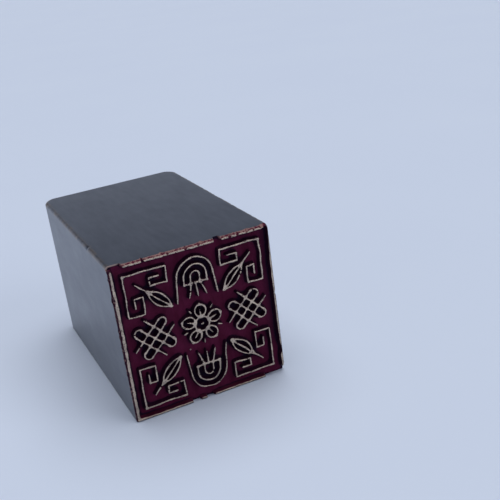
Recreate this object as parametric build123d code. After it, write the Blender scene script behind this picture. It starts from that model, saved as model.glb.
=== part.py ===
from build123d import *
import math
import os

# A square seal stamp, lying on one of its long sides as it is laid down between two uses.
# X runs across the stamp face, Y from the face to the rear end, and Z up.
# The origin is the middle of the side that it lies on. All lengths are in millimetres.

# The bar
face_side = 25.0
overall_length = 41.0
arris_chamfer = 0.25
rear_corner_radius = 2.5

# The cut face: raised lines on a sunk ground
relief_height = 0.9
stroke_width = 0.4
colour_thickness = 0.08

# The broken border round the face: each piece of a rail from and to a share of the face's side,
# counted from the left or from below
left_rail_width = 0.75
right_rail_width = 0.5
level_rail_width = 0.55
rail_outer_chamfer = 0.25
left_rail_shares = ((0.0, 0.98),)
right_rail_shares = ((0.03, 1.0),)
top_rail_shares = ((0.085, 0.205), (0.212, 0.65), (0.69, 1.0))
bottom_rail_shares = ((0.0, 0.37), (0.42, 0.465), (0.51, 0.865))

# The ornaments stand in three rows of three square cells
border_clearance = 0.9
ornament_clearance = 0.6
cells_across = 3

# Each ornament is drawn in shares of its cell
petal_count = 5
seed_share = 0.055
hub_share = 0.18
petal_rise_share = 0.14
petal_rib_share = 0.37
sepal_share = 0.4
arch_count = 3
arch_splay_share = 0.055
sill_drop_share = 0.17
comb_spread_share = 0.22
comb_end_share = 0.45
knot_pitch_share = 0.21
knot_reach_share = 0.4
knot_tail_share = 0.09
fret_step_share = 0.19
fret_hook_share = 0.41
leaf_start_share = 0.5
leaf_end_share = 1.0
leaf_rise_share = 0.135
rib_start_share = 0.26

half_turn = 180
quarter_turn = 90

ground_y = -overall_length / 2 + relief_height
ground_plane = Plane(origin=(0, ground_y, face_side / 2), x_dir=(1, 0, 0), z_dir=(0, -1, 0))

# The outermost lines run this far from the middle of the face, counted to their own middle
drawing_reach = face_side / 2 - left_rail_width - border_clearance - stroke_width / 2
cell_gap = ornament_clearance + stroke_width
cell = (2 * drawing_reach - (cells_across - 1) * cell_gap) / cells_across
cell_pitch = cell + cell_gap


def stroke(*path):
    """The outline of a raised line that follows a path, as wide as every line, with round ends."""
    edges = [edge for piece in path for edge in piece.edges()]
    return Sketch() + Face(Wire(edges).offset_2d(stroke_width / 2))


def ring(radius):
    """The outline of a raised line that closes on itself in a circle."""
    return Circle(radius + stroke_width / 2) - Circle(radius - stroke_width / 2)


def joined(outlines):
    """Several outlines as one."""
    whole = Sketch()
    for outline in outlines:
        whole += outline
    return whole


def leaf(root, tip, rise):
    """Two bowed lines that part at a root and meet at a tip."""
    return [stroke(SagittaArc(root, tip, rise)), stroke(SagittaArc(root, tip, -rise))]


def around(radius, angle):
    """The point at a radius and at an angle in degrees."""
    return (radius * math.cos(math.radians(angle)), radius * math.sin(math.radians(angle)))


def blossom():
    """Pointed ribbed petals round a hub with a seed in it, and a sepal between each two petals."""
    turn = 2 * half_turn / petal_count
    hub_radius = hub_share * cell
    petal_reach = cell / 2
    strokes = [ring(hub_radius), Circle(seed_share * cell)]
    for number in range(petal_count):
        petal_angle = quarter_turn + number * turn
        sepal_angle = petal_angle + turn / 2
        root = around(hub_radius, petal_angle)
        tip = around(petal_reach, petal_angle)
        strokes += leaf(root, tip, petal_rise_share * cell)
        strokes.append(stroke(Line(root, around(petal_rib_share * cell, petal_angle))))
        sepal = Line(around(sepal_share * cell, sepal_angle), around(petal_reach, sepal_angle))
        strokes.append(stroke(sepal))
    return joined(strokes)


def arches():
    """Nested arches on a sill, the outer one on long splayed feet, with a comb of lines below."""
    arch_step = cell / 2 / arch_count
    outer_radius = cell / 2 - arch_splay_share * cell
    spring_height = cell / 2 - outer_radius
    sill_height = spring_height - sill_drop_share * cell
    foot_height = -cell / 2
    strokes = []
    for number in range(arch_count):
        radius = outer_radius - number * arch_step
        outermost = number == 0
        low = foot_height if outermost else sill_height
        spread = cell / 2 if outermost else radius
        crown = CenterArc((0, spring_height), radius, 0, half_turn)
        right_foot = Line((spread, low), (radius, spring_height))
        left_foot = Line((-radius, spring_height), (-spread, low))
        strokes.append(stroke(right_foot, crown, left_foot))
    sill_half = outer_radius - arch_step
    strokes.append(stroke(Line((-sill_half, sill_height), (sill_half, sill_height))))
    for side in (-1, 0, 1):
        spread = side * comb_spread_share * cell
        strokes.append(stroke(Line((spread / 2, sill_height), (spread, -comb_end_share * cell))))
    return joined(strokes)


def knot():
    """Three lines across three, with two ends of each three looped together on either side."""
    pitch = knot_pitch_share * cell
    reach = knot_reach_share * cell
    tail = knot_tail_share * cell
    loop_radius = pitch / 2
    strokes = []
    for row in (-1, 0, 1):
        level = row * pitch
        ahead = reach + tail if row == -1 else reach
        behind = reach + tail if row == 1 else reach
        strokes.append(stroke(Line((-behind, level), (ahead, level))))
    strokes.append(stroke(CenterArc((reach, loop_radius), loop_radius, -quarter_turn, half_turn)))
    strokes.append(stroke(CenterArc((-reach, -loop_radius), loop_radius, quarter_turn, half_turn)))
    three = joined(strokes)
    across = Rot(0, 0, quarter_turn) * three
    return Rot(0, 0, quarter_turn / 2) * (three + across)


def fret():
    """Two hooked arms that leave one corner, and a ribbed leaf on the diagonal between them."""
    step = fret_step_share * cell
    hook = cell - fret_hook_share * cell
    arm = [(0, 0), (cell, 0), (cell, -2 * step), (hook, -2 * step), (hook, -step), (cell - step, -step)]
    other_arm = [(-y, -x) for x, y in arm]
    root = (leaf_start_share * cell, -leaf_start_share * cell)
    tip = (leaf_end_share * cell, -leaf_end_share * cell)
    rib_start = (rib_start_share * cell, -rib_start_share * cell)
    strokes = [stroke(Polyline(*arm)), stroke(Polyline(*other_arm)), stroke(Line(rib_start, tip))]
    strokes += leaf(root, tip, leaf_rise_share * cell)
    return joined(strokes)


def ornaments():
    """Every ornament by name, as an outline in its place on the face."""
    corner_fret = Pos(-drawing_reach, drawing_reach) * fret()
    upper_arches = Pos(0, cell_pitch) * arches()
    side_knot = Pos(-cell_pitch, 0) * knot()
    return {
        "centre_blossom": blossom(),
        "top_arches": upper_arches,
        "bottom_arches": Rot(0, 0, half_turn) * upper_arches,
        "left_knot": side_knot,
        "right_knot": Rot(0, 0, half_turn) * side_knot,
        "top_left_fret": corner_fret,
        "top_right_fret": Rot(0, 0, -quarter_turn) * corner_fret,
        "bottom_right_fret": Rot(0, 0, half_turn) * corner_fret,
        "bottom_left_fret": Rot(0, 0, quarter_turn) * corner_fret,
    }


def bar_section():
    """The square outline of the bar with its four arrises taken off."""
    square = Rectangle(face_side, face_side)
    return chamfer(square.vertices(), arris_chamfer)


def seal_bar():
    """The bar behind the cut ground, with rounded rear corners and chamfered long edges."""
    rear_y = overall_length / 2
    plan = Pos(0, (ground_y + rear_y) / 2) * Rectangle(face_side, rear_y - ground_y)
    rear_corners = plan.vertices().group_by(Axis.Y)[-1]
    bar = extrude(fillet(rear_corners, rear_corner_radius), amount=face_side)
    flat_sides = bar.faces().sort_by(Axis.Z)
    rims = flat_sides[0].edges() + flat_sides[-1].edges()
    arrises = [edge for edge in rims if edge.center().Y > ground_y + arris_chamfer]
    return chamfer(arrises, arris_chamfer)


def rail_strip(side, share_from, share_to):
    """The footprint of one piece of a border rail, on its side of the face."""
    length = (share_to - share_from) * face_side
    middle = (share_from + share_to) / 2 * face_side - face_side / 2
    left_inset = face_side / 2 - left_rail_width / 2
    right_inset = face_side / 2 - right_rail_width / 2
    level_inset = face_side / 2 - level_rail_width / 2
    level = Rectangle(length, level_rail_width)
    strips = {
        "left": Pos(-left_inset, middle) * Rectangle(left_rail_width, length),
        "right": Pos(right_inset, middle) * Rectangle(right_rail_width, length),
        "top": Pos(middle, level_inset) * level,
        "bottom": Pos(middle, -level_inset) * level,
    }
    return strips[side]


def border_rails():
    """The footprint of each border rail by name; the upright rails keep the corners they reach."""
    shares = {
        "left": left_rail_shares,
        "right": right_rail_shares,
        "top": top_rail_shares,
        "bottom": bottom_rail_shares,
    }
    rails = {}
    taken = Sketch()
    for side, spans in shares.items():
        strips = joined([bar_section() & rail_strip(side, *span) for span in spans])
        rails[side + "_border_rail"] = strips - taken
        taken += strips
    return rails


def raised(outline):
    """An outline raised from the ground to the stamping plane."""
    return extrude(ground_plane * outline, amount=relief_height)


def worn_rim():
    """The space that the face's worn outer edge leaves for the border rails."""
    base_side = face_side + 2 * (relief_height - rail_outer_chamfer)
    base = ground_plane * Rectangle(base_side, base_side)
    return extrude(base, amount=relief_height, taper=quarter_turn / 2)


def ground_colour(outlines):
    """The colour on the ground by name: the film in the open, and the pools in closed cells."""
    bare = bar_section()
    for outline in outlines:
        bare -= outline
    colour = extrude(ground_plane * bare, amount=colour_thickness)
    stretches = colour.solids().sort_by(SortBy.VOLUME)
    return {"ground_colour": stretches[-1], "closed_cell_colour": Compound(stretches[:-1])}


def seal_stamp():
    """Every piece of the seal by name."""
    rails = border_rails()
    figures = ornaments()
    rim = worn_rim()
    pieces = {"seal_bar": seal_bar()}
    for name, outline in rails.items():
        pieces[name] = raised(outline) & rim
    for name, outline in figures.items():
        pieces[name] = raised(outline)
    pieces.update(ground_colour([*rails.values(), *figures.values()]))
    return pieces


os.makedirs("parts", exist_ok=True)
for node, piece in seal_stamp().items():
    export_step(piece, "parts/" + node + ".step")
    print(node, len(piece.solids()), "solids")
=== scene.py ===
"""Looks of a square brass seal stamp that lies on one of its long sides.

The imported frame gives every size. The stamp face is drawn in its own plane: u runs across
and v runs up from its middle, both in millimetres, and a height counts from the sunk ground
towards the stamping plane. One scale turns millimetres into metres where a mesh is written.
"""

import logging
import math
from abc import ABC, abstractmethod
from collections.abc import Callable
from dataclasses import dataclass, replace
from enum import Enum
from typing import Any

import bmesh
import bpy
import numpy as np
from mathutils import Matrix, Vector

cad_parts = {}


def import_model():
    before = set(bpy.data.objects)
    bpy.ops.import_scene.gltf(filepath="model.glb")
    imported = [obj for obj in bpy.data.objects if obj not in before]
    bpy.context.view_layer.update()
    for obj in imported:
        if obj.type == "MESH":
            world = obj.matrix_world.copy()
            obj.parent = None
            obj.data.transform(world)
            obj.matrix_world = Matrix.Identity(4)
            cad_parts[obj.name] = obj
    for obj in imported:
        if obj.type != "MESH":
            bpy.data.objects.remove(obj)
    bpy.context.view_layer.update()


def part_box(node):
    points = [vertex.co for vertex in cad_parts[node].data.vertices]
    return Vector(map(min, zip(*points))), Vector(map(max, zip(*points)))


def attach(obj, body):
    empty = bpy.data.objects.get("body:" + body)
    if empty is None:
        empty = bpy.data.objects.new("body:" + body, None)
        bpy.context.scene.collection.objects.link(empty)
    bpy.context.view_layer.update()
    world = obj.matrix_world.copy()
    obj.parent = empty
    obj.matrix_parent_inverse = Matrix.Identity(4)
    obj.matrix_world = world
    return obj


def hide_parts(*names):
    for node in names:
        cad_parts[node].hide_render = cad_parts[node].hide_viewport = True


LOG = logging.getLogger("seal_stamp")
METRES = 0.001
ROOT = "root"

# The brushed colour is one film, so its piece stands for the pools in the closed cells too
ALSO_STANDS_FOR = {"ground_colour": ("closed_cell_colour",)}

Array = np.ndarray
Point = tuple[float, float]
Span = tuple[float, float]
Colour = tuple[float, float, float, float]

# A distance from a raised edge is followed no further than this, in millimetres
FAR = 1.1

# Raised work that is left lower than this is dropped, in millimetres
LEAST_HEIGHT = 0.035

# A length that stands for zero where one is divided by
TINY = 1e-9

# The shares of a ripple's wavelength between which its waves lie
WAVE_SHARES = (0.7, 1.4)

# The values of a noise between which a soft pattern and a surface grain run from 0 to 1
SOFT = (0.3, 0.7)
GRAIN = (0.2, 0.8)


class Edge(Enum):
    """A side of the face. The value points outwards over that side, across and up."""

    LEFT = (-1, 0)
    RIGHT = (1, 0)
    BOTTOM = (0, -1)
    TOP = (0, 1)


class LineEnd(Enum):
    """How the graver leaves a raised line: the share of its width that is left at the tip."""

    BLUNT = 0.85
    POINTED = 0.35


def linear(code: str) -> Colour:
    """Turns an sRGB hex colour into the linear colour that a shader takes.

    Each channel follows the sRGB curve: a straight foot, then a power of 2.4.

    Args:
        code: Six hex digits.

    Returns:
        Red, green, blue and a full alpha.
    """
    parts = [int(code[start : start + 2], 16) / 255 for start in (0, 2, 4)]
    straight = [part / 12.92 if part <= 0.04045 else ((part + 0.055) / 1.055) ** 2.4 for part in parts]
    return (*straight, 1.0)


def measured(node: str) -> tuple[Array, Array]:
    """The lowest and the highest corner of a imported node, in millimetres."""
    low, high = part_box(node)
    return np.array(low) / METRES, np.array(high) / METRES


def ripple(u: Array, v: Array, wavelength: float, seed: int, waves: int = 7) -> Array:
    """Smooth unevenness that mostly lies between -1 and 1.

    It is a sum of plane sine waves. Each wave has a direction and a phase of its own, and a
    length near the one given, and the sum is divided by the root of twice their number.

    Args:
        u: Places across.
        v: Places up, in the same shape.
        wavelength: The length of a usual wave.
        seed: Starts the random draws.
        waves: How many waves are summed.

    Returns:
        The unevenness at each place.
    """
    rng = np.random.default_rng(seed)
    angle = rng.uniform(0, 2 * np.pi, waves)
    phase = rng.uniform(0, 2 * np.pi, waves)
    pace = 2 * np.pi / (wavelength * rng.uniform(*WAVE_SHARES, waves))
    turned = u[..., None] * np.cos(angle) + v[..., None] * np.sin(angle)
    return np.sin(turned * pace + phase).sum(-1) / math.sqrt(2 * waves)


def dents(u: Array, v: Array, places: Array, radii: Array, depths: Array) -> Array:
    """The depth of a few small dents, each a bell curve round its own place.

    Args:
        u: Places across.
        v: Places up, in the same shape.
        places: The middle of each dent, one row each.
        radii: How far each dent reaches.
        depths: How deep each dent is at its middle.

    Returns:
        The summed depth at each place.
    """
    total = np.zeros_like(u)
    for (across, up), radius, depth in zip(places, radii, depths):
        total += depth * np.exp(-((u - across) ** 2 + (v - up) ** 2) / radius**2)
    return total


def softer_min(first: Array, second: Array, reach: float) -> Array:
    """The lower value, less the square of how far the two overlap in reach, over four reaches."""
    overlap = np.maximum(reach - np.abs(first - second), 0)
    return np.minimum(first, second) - overlap**2 / (4 * reach)


def softer_max(first: Array, second: Array, reach: float) -> Array:
    """The higher of two values, rounded in the way of softer_min."""
    return -softer_min(-first, -second, reach)


@dataclass(frozen=True)
class FaceFrame:
    """Where the stamp face and its bar lie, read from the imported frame, in millimetres.

    The lip is the bare stretch of the outline in the gap at the top's left end. It is bare up
    to a share of the side, fades over a length past that, and reaches down by its depth.
    """

    half_side: float
    centre_z: float
    ground_y: float
    plane_y: float
    rear_y: float
    corner_radius: float = 0.25
    blunt_radius: float = 0.45
    lip_share: float = 0.06
    lip_fade: float = 1.0
    lip_depth: float = 1.0

    @classmethod
    def from_nodes(cls) -> "FaceFrame":
        """Reads the bar's box and the height of the middle ornament.

        Returns:
            The frame of the face.
        """
        low, high = measured("seal_bar")
        plane = measured("centre_blossom")[0][1]
        return cls((high[0] - low[0]) / 2, (high[2] + low[2]) / 2, low[1], plane, high[1])

    @property
    def relief(self) -> float:
        """How high the raised work stands over the ground."""
        return self.ground_y - self.plane_y

    def radius(self, u: Array | float, v: Array | float) -> Array:
        """The radius of the outline's corner in each place's quarter: the top left is blunter."""
        return np.where((np.asarray(u) < 0) & (np.asarray(v) > 0), self.blunt_radius, self.corner_radius)

    def inset(self, u: Array, v: Array) -> Array:
        """How far inside the bar's round-cornered square outline each place lies.

        Past the start of a corner's arc the distance runs to the arc, elsewhere to a side.

        Args:
            u: Places across.
            v: Places up, in the same shape.

        Returns:
            The distance at each place.
        """
        radius = self.radius(u, v)
        over_u = np.abs(u) - (self.half_side - radius)
        over_v = np.abs(v) - (self.half_side - radius)
        round_part = np.hypot(np.maximum(over_u, 0), np.maximum(over_v, 0))
        return radius - round_part - np.minimum(np.maximum(over_u, over_v), 0)

    def lip(self, u: Array, v: Array) -> Array:
        """How bare the outline is: 1 along the top up to the lip's share, then falling evenly to 0."""
        end = (2 * self.lip_share - 1) * self.half_side
        return np.clip((end - u) / self.lip_fade + 1, 0, 1) * (v > self.half_side - self.lip_depth)

    def cornered(self, u: Array, v: Array) -> tuple[Array, Array]:
        """Draws a square grid's four corners in onto the corner arcs.

        In each corner's little square, a place keeps its direction from the arc's middle, and
        its distance from there becomes the larger of its two offsets.

        Args:
            u: Places across.
            v: Places up, in the same shape.

        Returns:
            The new places across and up.
        """
        start = self.half_side - self.radius(u, v)
        over_u = np.maximum(np.abs(u) - start, 0)
        over_v = np.maximum(np.abs(v) - start, 0)
        length = np.hypot(over_u, over_v)
        scale = np.where(length > 0, np.maximum(over_u, over_v) / np.maximum(length, TINY), 1)
        inner = (over_u > 0) & (over_v > 0)
        round_u = np.sign(u) * (start + over_u * scale)
        round_v = np.sign(v) * (start + over_v * scale)
        return np.where(inner, round_u, u), np.where(inner, round_v, v)


def line(*corners: Point) -> Array:
    """A path that runs straight from corner to corner."""
    return np.array(corners, float)


def around(radius: float, angle: float) -> Point:
    """The point at a radius and at an angle in radians: the radius times cosine and sine."""
    return (radius * math.cos(angle), radius * math.sin(angle))


def arc(middle: Point, radius: float, start: float, sweep: float, steps: int = 24) -> Array:
    """Points on a circle: the middle plus the radius times the cosine and sine of each angle.

    Args:
        middle: The circle's middle.
        radius: Its radius.
        start: The first angle in degrees.
        sweep: How far it turns, in degrees.
        steps: How many chords stand for the arc.

    Returns:
        One row for each point.
    """
    angle = np.radians(start + sweep * np.linspace(0, 1, steps + 1))
    return np.stack([middle[0] + radius * np.cos(angle), middle[1] + radius * np.sin(angle)], 1)


def bowed(start: Point, end: Point, rise: float, steps: int = 16) -> Array:
    """A circular arc between two points that stands off its chord by the rise.

    The circle's radius follows from half the chord and the rise, and each point's offset is
    the circle's height over the chord there.

    Args:
        start: The first point.
        end: The last point.
        rise: The offset at the middle, to the left where it is positive.
        steps: How many chords stand for the arc.

    Returns:
        One row for each point.
    """
    start_point, end_point = np.array(start), np.array(end)
    chord = end_point - start_point
    length = np.hypot(*chord)
    radius = (length**2 / 4 + rise**2) / (2 * abs(rise))
    share = np.linspace(0, 1, steps + 1)[:, None]
    height = np.sqrt(radius**2 - ((share - 0.5) * length) ** 2) - (radius - abs(rise))
    normal = np.array([-chord[1], chord[0]]) / length
    return start_point + share * chord + math.copysign(1, rise) * height * normal


@dataclass(frozen=True)
class RaisedLine:
    """A raised line: the path of its middle, and how its width swells and ends.

    Each line draws the usual share of its width and the length of its swelling from the two
    spans. The taper is how far it narrows before a free end. Lengths are in millimetres.
    """

    path: Array
    end: LineEnd = LineEnd.BLUNT
    closed: bool = False
    taper: float = 0.55
    usual_shares: Span = (0.86, 1.12)
    swell_share: float = 0.18
    swell_lengths: Span = (1.6, 3.0)

    def placed(self, turn: float, shift: Point) -> "RaisedLine":
        """Turns the line about the origin and then shifts it.

        Args:
            turn: The turn in degrees.
            shift: How far it moves across and up.

        Returns:
            The line in its new place.
        """
        cosine, sine = math.cos(math.radians(turn)), math.sin(math.radians(turn))
        turned = self.path @ np.array([[cosine, sine], [-sine, cosine]])
        return replace(self, path=turned + np.array(shift))

    def edge_distance(self, u: Array, v: Array, half_width: float, seed: int) -> Array:
        """How far each place lies outside the line's edge; it is negative on the line.

        The distance to the nearest chord of the path, less the half width there. The half
        width swells and thins in a slow wave along the line, and narrows over the taper
        towards a free end. Places further off than FAR are all given that distance.

        Args:
            u: Places across.
            v: Places up, in the same shape.
            half_width: Half of the usual width.
            seed: Starts the random draws.

        Returns:
            The signed distance at each place.
        """
        found = np.full(u.shape, FAR)
        low, high = self.path.min(0) - FAR, self.path.max(0) + FAR
        near = (u > low[0]) & (u < high[0]) & (v > low[1]) & (v < high[1])
        place = np.stack([u[near], v[near]], 1)[:, None, :]
        start, chord = self.path[:-1], np.diff(self.path, axis=0)
        length = np.hypot(chord[:, 0], chord[:, 1])
        share = np.clip(((place - start) * chord).sum(2) / length**2, 0, 1)
        off = place - start - share[..., None] * chord
        distance = np.hypot(off[..., 0], off[..., 1])
        nearest = distance.argmin(1)
        row = np.arange(len(nearest))
        along = (np.cumsum(length) - length)[nearest] + share[row, nearest] * length[nearest]
        rng = np.random.default_rng(seed)
        wave = np.sin(2 * np.pi * along / rng.uniform(*self.swell_lengths) + rng.uniform(0, 2 * np.pi))
        width = half_width * (rng.uniform(*self.usual_shares) + self.swell_share * wave)
        if not self.closed:
            from_end = np.minimum(along, length.sum() - along) / self.taper
            width = width * (self.end.value + (1 - self.end.value) * np.sqrt(np.clip(from_end, 0, 1)))
        found[near] = np.minimum(distance[row, nearest] - width, FAR)
        return found


@dataclass(frozen=True)
class CutProfile:
    """The cross-section that the cutter leaves beside raised metal, in millimetres."""

    relief: float
    wall_run: float = 0.25
    steepness: float = 1.7

    def height(self, distance: Array) -> Array:
        """The height at a distance outside a raised edge: the full relief up to the edge."""
        # Over the run it falls as a power of the share left, steep at the top, filleted at the foot
        left = 1 - np.clip(distance / self.wall_run, 0, 1)
        return self.relief * left**self.steepness


@dataclass(frozen=True)
class Grid:
    """Places of a patch of the face: u and v at every point of a rectangular grid."""

    u: Array
    v: Array

    @classmethod
    def over(cls, low: Point, high: Point, step: float) -> "Grid":
        """Lays even points over a patch.

        Args:
            low: The patch's lowest corner.
            high: Its highest corner.
            step: The longest step between two points.

        Returns:
            The grid.
        """
        across = np.linspace(low[0], high[0], 1 + math.ceil((high[0] - low[0]) / step))
        up = np.linspace(low[1], high[1], 1 + math.ceil((high[1] - low[1]) / step))
        return cls(*np.meshgrid(across, up, indexing="ij"))


def cells_at(points: Array) -> Array:
    """Finds the cells with a marked corner, then fills in until no two meet at one corner alone.

    Args:
        points: True at each marked point of a grid.

    Returns:
        True for each of the grid's cells that is kept.
    """
    cells = points[:-1, :-1] | points[1:, :-1] | points[:-1, 1:] | points[1:, 1:]
    rows, columns = cells.shape
    while True:
        low_left, high_right = cells[:-1, :-1], cells[1:, 1:]
        low_right, high_left = cells[1:, :-1], cells[:-1, 1:]
        rising = low_left & high_right & ~low_right & ~high_left
        falling = low_right & high_left & ~low_left & ~high_right
        crossed = rising | falling
        if not crossed.any():
            return cells
        for over in (0, 1):
            for up in (0, 1):
                cells[over : rows - 1 + over, up : columns - 1 + up] |= crossed


def write_mesh(
    name: str,
    points: Array,
    faces: Array,
    sharp: Array,
    at_points: dict[str, Array],
    at_faces: dict[str, Array],
) -> bpy.types.Object:
    """Writes a mesh of four-cornered faces from arrays and gives its object.

    Args:
        name: The piece's name.
        points: Places in millimetres, one row each.
        faces: Four point numbers for each face.
        sharp: Two point numbers for each edge that is sharp.
        at_points: Values that the material reads, one for each point.
        at_faces: Values that the material reads, one for each face.

    Returns:
        The object, at the origin, with its place in its mesh.
    """
    mesh = bpy.data.meshes.new(name)
    mesh.vertices.add(len(points))
    mesh.vertices.foreach_set("co", (points * METRES).astype(np.float32).ravel())
    mesh.loops.add(faces.size)
    mesh.loops.foreach_set("vertex_index", faces.astype(np.int32).ravel())
    mesh.polygons.add(len(faces))
    mesh.polygons.foreach_set("loop_start", np.arange(0, faces.size, faces.shape[1], dtype=np.int32))
    mesh.update(calc_edges=True)
    mesh.polygons.foreach_set("use_smooth", np.ones(len(faces), bool))
    ends = np.empty(2 * len(mesh.edges), np.int32)
    mesh.edges.foreach_get("vertices", ends)
    # Each edge's two point numbers are made into one, so that the lists can be compared
    keys = [np.sort(pairs.reshape(-1, 2).astype(np.int64), axis=1) for pairs in (ends, sharp)]
    all_edges, sharp_edges = (pairs[:, 0] * len(points) + pairs[:, 1] for pairs in keys)
    mesh.edges.foreach_set("use_edge_sharp", np.isin(all_edges, sharp_edges))
    for domain, table in (("POINT", at_points), ("FACE", at_faces)):
        for label, values in table.items():
            layer = mesh.attributes.new(label, "FLOAT", domain)
            layer.data.foreach_set("value", values.astype(np.float32))
    mesh.update()
    piece = bpy.data.objects.new(name, mesh)
    bpy.context.scene.collection.objects.link(piece)
    return piece


@dataclass(frozen=True)
class Relief:
    """A closed skin over part of a patch: raised in front, flat behind, walled all round.

    The back lies inside the bar by the sunk depth, which is slight where a wall shows.
    """

    face: FaceFrame
    grid: Grid
    height: Array
    cells: Array
    sunk: float = 0.05

    def build(self, name: str, values: dict[str, Array]) -> bpy.types.Object:
        """Writes the skin as one closed mesh whose faces point outwards.

        Every cell gives a face in front and, turned round, one behind. Each side of a cell
        that has no neighbour gives a wall between the two layers, and its edges are sharp.

        Args:
            name: The piece's name.
            values: What the material reads at each grid point.

        Returns:
            The finished object.
        """
        u, v = self.face.cornered(self.grid.u, self.grid.v)
        z = v + self.face.centre_z
        front = np.stack([u, self.face.ground_y - self.height, z], -1).reshape(-1, 3)
        back = np.stack([u, np.full_like(u, self.face.ground_y + self.sunk), z], -1).reshape(-1, 3)
        count = len(front)
        number = np.arange(count).reshape(u.shape)
        over, up = np.nonzero(self.cells)
        corners = (number[over, up], number[over + 1, up], number[over + 1, up + 1], number[over, up + 1])
        beside = np.pad(self.cells, 1)
        walls = []
        for side, (step_over, step_up) in enumerate(((0, -1), (1, 0), (0, 1), (-1, 0))):
            free = ~beside[over + 1 + step_over, up + 1 + step_up]
            walls.append(np.stack([corners[side][free], corners[(side + 1) % 4][free]], 1))
        rim = np.concatenate(walls)
        outer = np.stack(corners, 1)
        wall = np.stack([rim[:, 1], rim[:, 0], rim[:, 0] + count, rim[:, 1] + count], 1)
        faces = np.concatenate([outer, outer[:, ::-1] + count, wall])
        # Only the points that a face uses are written, numbered anew in their old order
        used, packed = np.unique(faces, return_inverse=True)
        packed = packed.reshape(faces.shape)
        place = np.full(2 * count, -1)
        place[used] = np.arange(len(used))
        skin = np.zeros(len(faces))
        skin[2 * len(outer) :] = 1
        both = {label: np.tile(value.ravel(), 2)[used] for label, value in values.items()}
        sharp = np.concatenate([place[rim], place[rim + count]])
        return write_mesh(name, np.concatenate([front, back])[used], packed, sharp, both, {"skin": skin})


@dataclass(frozen=True)
class Ornament(ABC):
    """One ornament of raised lines in its square cell.

    Its lines are drawn round the middle of the cell, turned by degrees and shifted there. They
    waver as a hand does, their edges have a fine grain, and their tops a few nicks. Each of
    these adds a number of its own to the seed.
    """

    node: str
    middle: Point
    cell: float
    turn: float = 0.0
    seed: int = 1
    seed_step: int = 7
    half_width: float = 0.1
    joint_reach: float = 0.34
    waver: float = 0.065
    waver_length: float = 3.4
    grain: float = 0.018
    grain_length: float = 0.55
    nick_count: int = 3
    nick_shares: Span = (0.1, 0.9)
    nick_radii: Span = (0.05, 0.11)
    nick_depths: Span = (0.08, 0.4)
    margin: float = 0.38
    step: float = 0.04

    @abstractmethod
    def lines(self) -> list[RaisedLine]:
        """The ornament's lines, round the middle of its cell."""

    def placed_lines(self) -> list[RaisedLine]:
        """The ornament's lines in their place on the face."""
        return [part.placed(self.turn, self.middle) for part in self.lines()]

    def edge_distance(self, u: Array, v: Array) -> Array:
        """How far each place lies outside the ornament's raised edge.

        The places are first shifted by slow ripples, which makes the lines waver. The lines'
        own distances are then joined by softer_min, which swells the joints.

        Args:
            u: Places across.
            v: Places up, in the same shape.

        Returns:
            The signed distance at each place.
        """
        shifted_u = u + self.waver * ripple(u, v, self.waver_length, self.seed)
        shifted_v = v + self.waver * ripple(u, v, self.waver_length, self.seed + 1)
        total = np.full(u.shape, FAR)
        for number, part in enumerate(self.placed_lines()):
            seed = self.seed + self.seed_step * number
            own = part.edge_distance(shifted_u, shifted_v, self.half_width, seed)
            total = softer_min(total, own, self.joint_reach)
        return total + self.grain * ripple(u, v, self.grain_length, self.seed + 2)

    def nicks(self, u: Array, v: Array) -> Array:
        """The depth of small dents in the tops, each at a random place on a random chord.

        Args:
            u: Places across.
            v: Places up, in the same shape.

        Returns:
            The summed depth at each place.
        """
        rng = np.random.default_rng(self.seed + 3)
        paths = [part.path for part in self.placed_lines()]
        places = []
        for _ in range(self.nick_count):
            path = paths[rng.integers(len(paths))]
            start = rng.integers(len(path) - 1)
            share = rng.uniform(*self.nick_shares)
            places.append(path[start] + share * (path[start + 1] - path[start]))
        radii = rng.uniform(*self.nick_radii, self.nick_count)
        depths = rng.uniform(*self.nick_depths, self.nick_count)
        return dents(u, v, np.array(places), radii, depths)

    def build(self, face: FaceFrame) -> bpy.types.Object:
        """Builds the ornament as a closed relief and gives its object.

        Args:
            face: Where the stamp face lies.

        Returns:
            The finished piece, not yet dressed.
        """
        reach = self.cell / 2 + self.half_width + self.margin
        low = (self.middle[0] - reach, self.middle[1] - reach)
        high = (self.middle[0] + reach, self.middle[1] + reach)
        grid = Grid.over(low, high, self.step)
        height = CutProfile(face.relief).height(self.edge_distance(grid.u, grid.v))
        height = np.maximum(height - self.nicks(grid.u, grid.v), 0)
        still = np.zeros_like(height)
        relief = Relief(face, grid, height, cells_at(height > LEAST_HEIGHT))
        return relief.build(self.node + "_cut", {"rub": still, "stain": still})


@dataclass(frozen=True)
class Blossom(Ornament):
    """Pointed ribbed petals round a hub with a seed in it, and a sepal between each two."""

    petals: int = 5
    seed_share: float = 0.055
    hub_share: float = 0.18
    petal_rise_share: float = 0.14
    petal_rib_share: float = 0.37
    sepal_share: float = 0.4

    def lines(self) -> list[RaisedLine]:
        """Draws the hub's ring, the seed, and two bowed lines, a rib and a sepal for each petal.

        Returns:
            The lines, round the middle of the cell.
        """
        hub = self.hub_share * self.cell
        dot = self.seed_share * self.cell - self.half_width / 2
        drawn = [RaisedLine(arc((0, 0), hub, 0, 360), closed=True)]
        drawn.append(RaisedLine(line((-dot / 2, 0), (dot / 2, 0)), closed=True))
        for number in range(self.petals):
            angle = math.radians(90 + number * 360 / self.petals)
            between = angle + math.pi / self.petals
            root, tip = around(hub, angle), around(self.cell / 2, angle)
            for rise in (self.petal_rise_share, -self.petal_rise_share):
                drawn.append(RaisedLine(bowed(root, tip, rise * self.cell), closed=True))
            rib = line(around(self.hub_share, angle), around(self.petal_rib_share, angle))
            sepal = line(around(self.sepal_share, between), around(1 / 2, between))
            drawn += [RaisedLine(path * self.cell, LineEnd.POINTED) for path in (rib, sepal)]
        return drawn


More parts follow.
